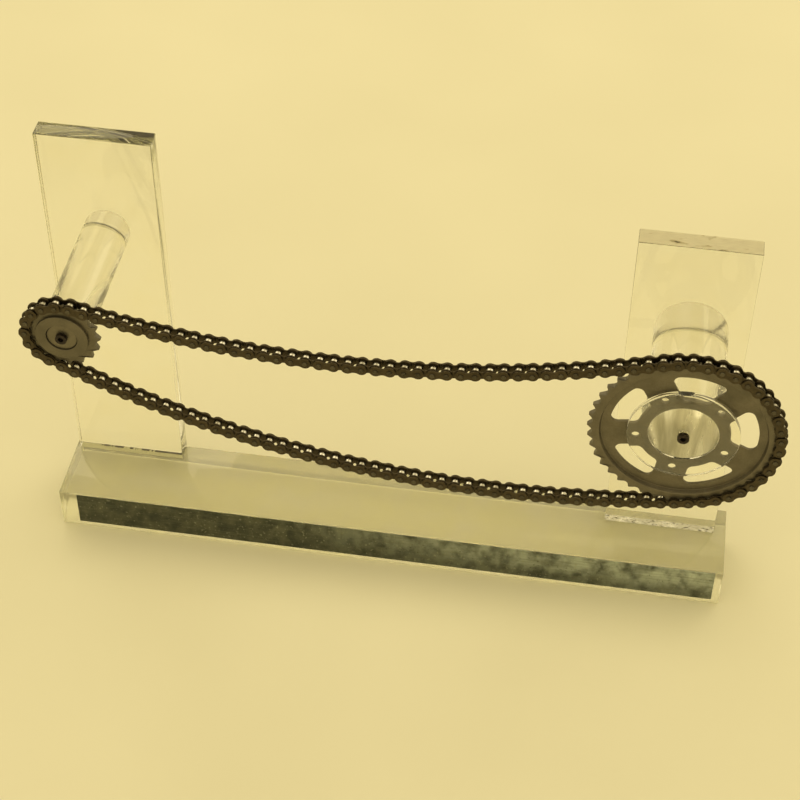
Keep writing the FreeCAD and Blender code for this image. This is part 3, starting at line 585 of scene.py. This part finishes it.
def foot_print(node, lift=0.0):
    """Outline of an upright's flat underside, lifted off the base's top."""
    low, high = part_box(node)
    inset = POLISHED_EDGE + 0.05 * MM  # just inside the rounded edges
    x0, x1, y0, y1 = low.x + inset, high.x - inset, low.y + inset, high.y - inset
    return [Vector((x, y, low.z + lift)) for x, y in ((x0, y0), (x1, y0), (x1, y1), (x0, y1))]


clear_slab("base_block", (foot_print("left_upright"), (0, 0, 1), JOINT), (hazy_acrylic, joint_acrylic))
for node, lift, top, foot in (("right_upright", FROTH_GAP, sawn_acrylic(), glue_froth()),
                              ("left_upright", GAP, acrylic, seam_dirt())):
    clear_slab(node, (foot_print(node, lift), (0, 0, -1), FOOT), (acrylic, joint_acrylic, top, foot), lift)


def clear_boss(node):
    """Round clear stand-off with a rounded back end, and a blind screw hole in its satin front end."""
    low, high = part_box(node)
    radius = (high.x - low.x) / 2
    length = high.y - low.y - GAP
    hole_floor = length - SCREW_HOLE_DEPTH
    bm = bmesh.new()
    bend = [(radius - BOSS_SHOULDER * (1 - math.sin(t)), BOSS_SHOULDER * (1 - math.cos(t)))
            for t in [math.pi / 2 * k / 10 for k in range(11)]]
    front = round_corners([(radius, 6 * MM), (radius, length), (SCREW_HOLE_R, length),
                           (SCREW_HOLE_R, hole_floor)], 0.6 * MM)
    lathe(bm, [(0, 0)] + bend + front + [(0, hole_floor)], 96, closed=False)
    for face in bm.faces:
        if min(v.co.z for v in face.verts) > length - NEAR:
            face.material_index = 1
    face_front(bm, Vector(((low.x + high.x) / 2, high.y - GAP, (low.z + high.z) / 2)))
    add_piece(node + "_polished", finish_mesh(bm, node), "stand", "clear_acrylic",
              rod_material, end_material, node=node)


rod_material, end_material = rod_acrylic(), turned_end()
clear_boss("right_boss")
clear_boss("left_boss")


def clear_keeper():
    """Clear disc in front of the large sprocket, with the spigot that the sprocket turns on."""
    low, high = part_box("wheel_keeper")
    radius = (high.x - low.x) / 2
    front = high.y - low.y
    seat = front - KEEPER_THICK
    bm = bmesh.new()
    profile = [(SCREW_HOLE_R, GAP), (SPIGOT_R, GAP), (SPIGOT_R, seat), (radius, seat), (radius, front),
               (SCREW_HOLE_R, front)]
    lathe(bm, round_corners(profile, 0.3 * MM, closed=True), 144)
    face_front(bm, Vector((WHEEL.x, high.y, WHEEL.z)))
    add_piece("wheel_keeper_polished", finish_mesh(bm, "wheel_keeper_polished"), "stand", "clear_acrylic",
              acrylic, node="wheel_keeper")


clear_keeper()


def front_strip():
    """Flat plated strip on the front of the stand."""
    low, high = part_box("front_strip")
    bm = bmesh.new()
    outline = round_corners([(low.x, low.z), (high.x, low.z), (high.x, high.z), (low.x, high.z)],
                            1.2 * MM, closed=True)
    back, front = wall(bm, outline, 0, high.y - low.y - GAP, 0.25 * MM)
    cap(bm, [back])
    cap(bm, [front])
    face_front(bm, Vector((0, high.y - GAP, 0)))
    add_piece("front_strip_plated", finish_mesh(bm, "front_strip_plated"), "stand", "strip_metal",
              strip_metal(), node="front_strip")


front_strip()

# ---------------------------------------------------------------- sprockets


def toothed_outline(teeth, radius, first):
    """Roller seats joined by straight flanks and slightly rounded tips, counter-clockwise."""
    tip = radius + TIP_RISE
    sx, sy = radius - SEAT_R * math.cos(SEAT_HALF), SEAT_R * math.sin(SEAT_HALF)
    # The flank leaves the seat along its tangent and meets the tip circle.
    ux, uy = math.sin(SEAT_HALF), math.cos(SEAT_HALF)
    b = sx * ux + sy * uy
    reach = -b + math.sqrt(b * b - (sx * sx + sy * sy - tip * tip))
    fx, fy = sx + ux * reach, sy + uy * reach
    gap = [Vector((fx, -fy))]
    gap += arc((radius, 0), SEAT_R, math.pi + SEAT_HALF, math.pi - SEAT_HALF, 10)
    gap += [Vector((fx, fy))]
    points = []
    for k in range(teeth):
        turn = Matrix.Rotation(first + math.tau * k / teeth, 2)
        points += [turn @ p for p in gap]
    return soften_tips(points, tip)


def soften_tips(points, tip):
    """Rounds only the corners that lie on the tip circle."""
    out = []
    for i, p in enumerate(points):
        if abs(p.length - tip) > NEAR:
            out.append(p)
            continue
        before, after = points[i - 1], points[(i + 1) % len(points)]
        cut = min(0.4 * MM, 0.45 * (before - p).length, 0.45 * (after - p).length)
        a, b = p + (before - p).normalized() * cut, p + (after - p).normalized() * cut
        out += [a, a * 0.25 + p * 0.5 + b * 0.25, b]
    return out


def taper_teeth(bm, radius):
    """Thins the teeth towards their tips, front and back alike."""
    for v in bm.verts:
        share = (math.hypot(v.co.x, v.co.y) - radius + TOOTH_TAPER) / (TOOTH_TAPER + TIP_RISE)
        if share > 0:
            v.co.z *= 1 - min(1.0, share) * TOOTH_BEVEL / TOOTH_HALF


def window_outline(turn):
    """One window between two spokes, clockwise, with round corners."""
    half_step = math.pi / SPOKES
    out_u = math.sqrt((WINDOW_OUT - WINDOW_FILLET) ** 2 - (SPOKE_HALF + WINDOW_FILLET) ** 2)
    in_u = math.sqrt((WINDOW_IN + WINDOW_FILLET) ** 2 - (SPOKE_HALF + WINDOW_FILLET) ** 2)
    v = SPOKE_HALF + WINDOW_FILLET
    to_spoke = Matrix.Rotation(-half_step, 2)
    outer, inner = to_spoke @ Vector((out_u, v)), to_spoke @ Vector((in_u, v))
    a_out, a_in = math.atan2(outer.y, outer.x), math.atan2(inner.y, inner.x)
    side = -half_step - math.pi / 2
    lower = (arc(inner, WINDOW_FILLET, a_in - math.pi, side, 6)
             + arc(outer, WINDOW_FILLET, side, a_out, 6))
    outside = arc((0, 0), WINDOW_OUT, a_out, -a_out, 14)[1:-1]
    upper = [Vector((p.x, -p.y)) for p in reversed(lower)]
    inside = arc((0, 0), WINDOW_IN, -a_in, a_in, 12)[1:-1]
    loop = lower + outside + upper + inside
    rotation = Matrix.Rotation(turn, 2)
    return [rotation @ p for p in reversed(loop)]


def build_wheel():
    """Dished wheel: toothed rim, and a thinner web set back between the rim's faces."""
    web_back = WEB_FRONT - WEB_THICK
    bm = bmesh.new()
    outline = toothed_outline(WHEEL_TEETH, WHEEL_R, WHEEL_START)
    rim_back, rim_front = wall(bm, outline, -TOOTH_HALF, TOOTH_HALF, SPROCKET_EDGE)

    def step(profile):
        """Rings of the slope between rim and web, from the first point of the profile to the last."""
        rings = [[bm.verts.new((p.x, p.y, z)) for p in circle((0, 0), r, 168)]
                 for r, z in round_corners(profile, 0.5 * MM)]
        join(bm, rings)
        return rings[0], rings[-1]

    front_top, front_floor = step([(WEB_R + 1 * MM, TOOTH_HALF), (WEB_R, TOOTH_HALF),
                                   (WEB_R - WEB_LEAN, WEB_FRONT), (WEB_R - WEB_LEAN - 1 * MM, WEB_FRONT)])
    back_top, back_floor = step([(WEB_R - 1 * MM, web_back), (WEB_R, web_back),
                                 (WEB_R + WEB_LEAN, -TOOTH_HALF), (WEB_R + WEB_LEAN + 1 * MM, -TOOTH_HALF)])
    holes = [list(reversed(circle((0, 0), WHEEL_BORE_R, 120)))]
    for k in range(SPOKES):
        spoke = WHEEL_START + SPOKE_START + math.tau * k / SPOKES
        holes.append(window_outline(spoke + math.pi / SPOKES))
        middle = (BOLT_CIRCLE_R * math.cos(spoke), BOLT_CIRCLE_R * math.sin(spoke))
        holes.append(list(reversed(circle(middle, BOLT_R, 32))))
    rims = [wall(bm, loop, web_back, WEB_FRONT, SPROCKET_EDGE) for loop in holes]
    cap(bm, [rim_front, front_top])
    cap(bm, [front_floor] + [front for back, front in rims])
    cap(bm, [back_top] + [back for back, front in rims])
    cap(bm, [rim_back, back_floor])
    taper_teeth(bm, WHEEL_R)
    face_front(bm, Vector((WHEEL.x, CHAIN_Y, WHEEL.z)))
    add_piece("big_sprocket_browned", finish_mesh(bm, "big_sprocket_browned"), "big_sprocket_and_wrap",
              "sprocket_steel", wheel_steel, node="big_sprocket")


def build_pinion():
    """Small sprocket with a smooth hub in front and a recess in the hub for its washer."""
    front = TOOTH_HALF + HUB_HEIGHT
    floor = front - HUB_RECESS_DEPTH
    bm = bmesh.new()
    outline = toothed_outline(PINION_TEETH, PINION_R, PINION_START)
    back, rim = wall(bm, outline, -TOOTH_HALF, TOOTH_HALF, SPROCKET_EDGE)
    hub_profile = round_corners([(HUB_R, TOOTH_HALF), (HUB_R, front), (HUB_RECESS_R, front),
                                 (HUB_RECESS_R, floor), (PINION_BORE_R, floor),
                                 (PINION_BORE_R, -TOOTH_HALF)], 0.6 * MM)
    rings = [[bm.verts.new((p.x, p.y, z)) for p in circle((0, 0), r, 120)] for r, z in hub_profile]
    join(bm, rings)
    cap(bm, [rim, rings[0]])
    cap(bm, [back, rings[-1]])
    taper_teeth(bm, PINION_R)
    face_front(bm, Vector((PINION.x, CHAIN_Y, PINION.z)))
    add_piece("small_sprocket_browned", finish_mesh(bm, "small_sprocket_browned"), "small_sprocket_and_wrap",
              "sprocket_steel", pinion_steel, node="small_sprocket")


build_wheel()
build_pinion()


def turned_ring(node, outer, edge):
    """Ground steel ring round a screw's shank."""
    low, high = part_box(node)
    name = node + "_ground"
    bm = bmesh.new()
    profile = [(SCREW_HOLE_R, 0), (outer, 0), (outer, high.y - low.y), (SCREW_HOLE_R, high.y - low.y)]
    lathe(bm, round_corners(profile, edge, closed=True), 72)
    face_front(bm, Vector(((low.x + high.x) / 2, high.y, (low.z + high.z) / 2)))
    add_piece(name, finish_mesh(bm, name), "stand", "ground_steel", washer_steel, node=node)


turned_ring("pinion_washer", WASHER_R, 0.4 * MM)
turned_ring("pinion_bush", PINION_BUSH_R, 0.2 * MM)


def axle_screw(node):
    """Socket-head screw: smooth round head, hexagon socket and plain shank."""
    low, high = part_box(node)
    name = node + "_black"
    length, flat_r = high.y - low.y, HEAD_R - 0.7 * MM
    seat = length - HEAD_HEIGHT
    bm = bmesh.new()
    front = round_corners([(SHANK_R, 1.2 * MM), (SHANK_R, seat), (HEAD_R, seat), (HEAD_R, length)], 0.35 * MM)
    profile = [(0, 0), (SHANK_R - 0.9 * MM, 0)] + [tuple(p) for p in front] + [(flat_r, length)]
    lathe(bm, profile, 48, closed=False)
    rim = [v for v in bm.verts if abs(v.co.z - length) < NEAR
           and abs(math.hypot(v.co.x, v.co.y) - flat_r) < NEAR]
    rim.sort(key=lambda v: math.atan2(v.co.y, v.co.x))
    hexagon = circle((0, 0), SOCKET_FLATS / math.sqrt(3), 6)
    floor, mouth = wall(bm, list(reversed(hexagon)), length - SOCKET_DEPTH, length)
    cap(bm, [rim, mouth])
    cap(bm, [floor])
    face_front(bm, Vector(((low.x + high.x) / 2, high.y, (low.z + high.z) / 2)))
    add_piece(name, finish_mesh(bm, name), "stand", "black_screw", screw_black, node=node)


axle_screw("wheel_screw")
axle_screw("pinion_screw")

# ---------------------------------------------------------------- chain


def plate_form(round_r, hole_r):
    """Figure-eight link plate, rounded at its punched edges, middle of its thickness at z = 0."""
    gap = round_r - WAIST
    rise = ((PITCH / 2) ** 2 - gap ** 2) / (2 * gap)
    waist_r = rise - WAIST
    lean = math.atan2(rise, PITCH / 2)
    quarter = arc((PITCH / 2, 0), round_r, -math.pi + lean, math.pi - lean, 30)
    top = arc((0, rise), waist_r, -lean, lean - math.pi, 8)[1:-1]
    left = [Vector((-p.x, -p.y)) for p in quarter]
    bottom = [Vector((-p.x, -p.y)) for p in top]
    loop = quarter + top + left + bottom
    bm = bmesh.new()
    back, front = wall(bm, loop, -PLATE_THICK / 2, PLATE_THICK / 2, 0.28 * MM)
    rims_back, rims_front = [back], [front]
    for x in (-PITCH / 2, PITCH / 2):
        low, high = wall(bm, list(reversed(circle((x, 0), hole_r, 20))), -PLATE_THICK / 2, PLATE_THICK / 2)
        rims_back.append(low)
        rims_front.append(high)
    cap(bm, rims_back)
    cap(bm, rims_front)
    return bm


def turned_form(profile, steps, closed=True):
    bm = bmesh.new()
    lathe(bm, profile, steps, closed)
    return bm


def mirrored(half):
    """A profile drawn from its middle to its front end, with the back end added."""
    return [(r, -z) for r, z in reversed(half)] + list(half)


# Points are (radius, distance from the pin's middle), out to the rounded end.
pin_end = [(PIN_R, 6.3 * MM), (2.35 * MM, 6.34 * MM), (2.35 * MM, 6.75 * MM), (2.1 * MM, 7.15 * MM),
           (1.5 * MM, PIN_HALF), (0.9 * MM, 7.22 * MM), (0.0, 7.12 * MM)]
pin_profile = mirrored([(PIN_R, 2.0 * MM)] + pin_end)
open_pin_profile = mirrored([(PIN_WAIST_R, 4.8 * MM), (PIN_R, 4.8 * MM)] + pin_end)
bush_half = INNER_HALF + PLATE_THICK
bush_profile = [(BUSH_BORE_R, -bush_half), (BUSH_R, -bush_half),
                (BUSH_R, bush_half), (BUSH_BORE_R, bush_half)]
roller_profile = round_corners([(ROLLER_BORE_R, -ROLLER_HALF), (ROLLER_R, -ROLLER_HALF),
                                (ROLLER_R, ROLLER_HALF), (ROLLER_BORE_R, ROLLER_HALF)], 0.4 * MM, closed=True)
FORMS = {
    "outer_plates": plate_form(OUTER_ROUND, PIN_R),
    "inner_plates": plate_form(INNER_ROUND, BUSH_R),
    "pins": turned_form(pin_profile, 24, closed=False),
    "open_pins": turned_form(open_pin_profile, 24, closed=False),
    "bushes": turned_form(bush_profile, 24),
    "rollers": turned_form(roller_profile, 36),
}
for form in FORMS.values():
    bmesh.ops.recalc_face_normals(form, faces=form.faces)


def at_pin(i):
    p = pins[i % TOTAL]
    return Matrix.Translation((p.x, CHAIN_Y, p.y)) @ FRONT


def at_link(i, y):
    a, b = pins[i % TOTAL], pins[(i + 1) % TOTAL]
    turn = math.atan2(b.y - a.y, b.x - a.x)
    middle = (a + b) / 2
    return Matrix.Translation((middle.x, CHAIN_Y + y, middle.y)) @ FRONT @ Matrix.Rotation(turn, 4, "Z")


def group_mesh(name, placed, rng):
    """One mesh of many copies: placed is a list of (form, matrix). Each copy gets a random tone."""
    verts, faces, tones = [], [], []
    for form, matrix in placed:
        start, tone = len(verts), rng.random()
        bm = FORMS[form]
        bm.verts.index_update()
        verts += [matrix @ v.co for v in bm.verts]
        faces += [[start + v.index for v in face.verts] for face in bm.faces]
        tones += [tone] * len(bm.verts)
    mesh = bpy.data.meshes.new(name)
    mesh.from_pydata(verts, [], faces)
    mesh.attributes.new("tone", "FLOAT", "POINT").data.foreach_set("value", tones)
    return mesh


plate_material = chain_plate_steel("chain_plate_outer", (0.085, 0.066, 0.036))
# The inner plates get a darker copy of the plate steel: painted shade for the plates set in between the outer
# ones.
inner_material = chain_plate_steel("chain_plate_inner", (0.07, 0.054, 0.03))
roller_material = roller_steel()
pin_material = pin_steel()
inner_y = INNER_HALF + PLATE_THICK / 2
outer_y = inner_y + PLATE_THICK + PLATE_GAP
rng = random.Random(12)
for name, first, count, body in STRETCHES:
    outer_links = range(first, first + count, 2)
    inner_links = range(first + 1, first + count, 2)
    pin_spots = [i + e for i in outer_links for e in (0, 1)]
    roller_spots = [i + e for i in inner_links for e in (0, 1)]
    kinds = {
        "outer_plates": ([("outer_plates", at_link(i, y)) for i in outer_links for y in (-outer_y, outer_y)],
                         plate_material, "chain_plate"),
        "inner_plates": ([("inner_plates", at_link(i, y)) for i in inner_links for y in (-inner_y, inner_y)],
                         inner_material, "chain_plate"),
        "pins": ([("open_pins" if i in OPEN_PINS else "pins", at_pin(i)) for i in pin_spots],
                 pin_material, "pin_steel"),
        "bushes": ([("bushes", at_pin(i)) for i in roller_spots], roller_material, "roller_steel"),
        "rollers": ([("rollers", at_pin(i)) for i in roller_spots], roller_material, "roller_steel"),
    }
    for kind, (placed, material, slot) in kinds.items():
        node = name + "_" + kind
        mesh = group_mesh(node + "_detailed", placed, rng)
        add_piece(node + "_detailed", mesh, body, slot, material, node=node)
for form in FORMS.values():
    form.free()

# ---------------------------------------------------------------- floor, light and camera


def flat_stage():
    """Plain pale floor, just under the base block."""
    mesh = bpy.data.meshes.new("floor")
    half, level = 6.0, -0.4 * MM
    mesh.from_pydata([(-half, -half, level), (half, -half, level), (half, half, level), (-half, half, level)],
                     [], [(0, 1, 2, 3)])
    floor = bpy.data.objects.new("floor", mesh)
    scene.collection.objects.link(floor)
    s = Shader("pale_floor", Roughness=0.8)
    s.set("Base Color", s.mix(s.span(s.noise(3.0, 2), 0.3, 0.7), (0.80, 0.775, 0.62), (0.835, 0.81, 0.655)))
    mesh.materials.append(s.material)


def area_light(name, place, aim, size, power, colour):
    data = bpy.data.lights.new(name, "AREA")
    data.shape = "DISK"
    data.size = size
    data.energy = power
    data.color = colour
    light = bpy.data.objects.new(name, data)
    light.location = place
    light.rotation_euler = (Vector(aim) - Vector(place)).to_track_quat("-Z", "Y").to_euler()
    scene.collection.objects.link(light)


def studio_world():
    """Warm soft sky, dimmer towards the horizon."""
    world = bpy.data.worlds.new("studio")
    scene.world = world
    world.use_nodes = True
    nodes, links = world.node_tree.nodes, world.node_tree.links
    sky = nodes["Background"]
    split = nodes.new("ShaderNodeSeparateXYZ")
    links.new(nodes.new("ShaderNodeTexCoord").outputs["Generated"], split.inputs[0])
    height = nodes.new("ShaderNodeMapRange")
    for socket, number in zip(("From Min", "From Max", "To Min", "To Max"), (0.05, 0.75, 0.74, 1.05)):
        height.inputs[socket].default_value = number
    links.new(split.outputs["Z"], height.inputs["Value"])
    links.new(height.outputs["Result"], sky.inputs["Strength"])
    sky.inputs["Color"].default_value = (1.0, 0.845, 0.47, 1.0)


def photo_camera():
    """Camera in front, above and to the right, looking down at the stand."""
    yaw, pitch, roll = math.radians(-8.530), math.radians(44.271), math.radians(0.640)
    data = bpy.data.cameras.new("camera")
    data.lens = 85.9
    data.sensor_width = 36
    data.clip_start, data.clip_end = 0.01, 50
    camera = bpy.data.objects.new("camera", data)
    camera.matrix_world = (Matrix.Translation((0.20924, -1.34461, 1.52212))
                           @ Matrix.Rotation(-yaw, 4, "Z")
                           @ Matrix.Rotation(math.pi / 2 - pitch, 4, "X")
                           @ Matrix.Rotation(roll, 4, "Z"))
    scene.collection.objects.link(camera)
    scene.camera = camera


flat_stage()
studio_world()
area_light("left_window", (-1.05, 1.67, 1.73), (0, -0.1, 0.3), 1.0, 3.2, (1.0, 0.90, 0.64))
area_light("right_window", (1.35, 1.67, 1.55), (0, -0.1, 0.3), 1.0, 2.6, (1.0, 0.90, 0.64))
photo_camera()
scene.view_settings.view_transform = "Standard"
# Clear blocks stand behind one another, so rays need many turns to get through them.
paths = scene.cycles
paths.max_bounces, paths.transmission_bounces = 32, 28
paths.glossy_bounces, paths.transparent_max_bounces = 12, 24
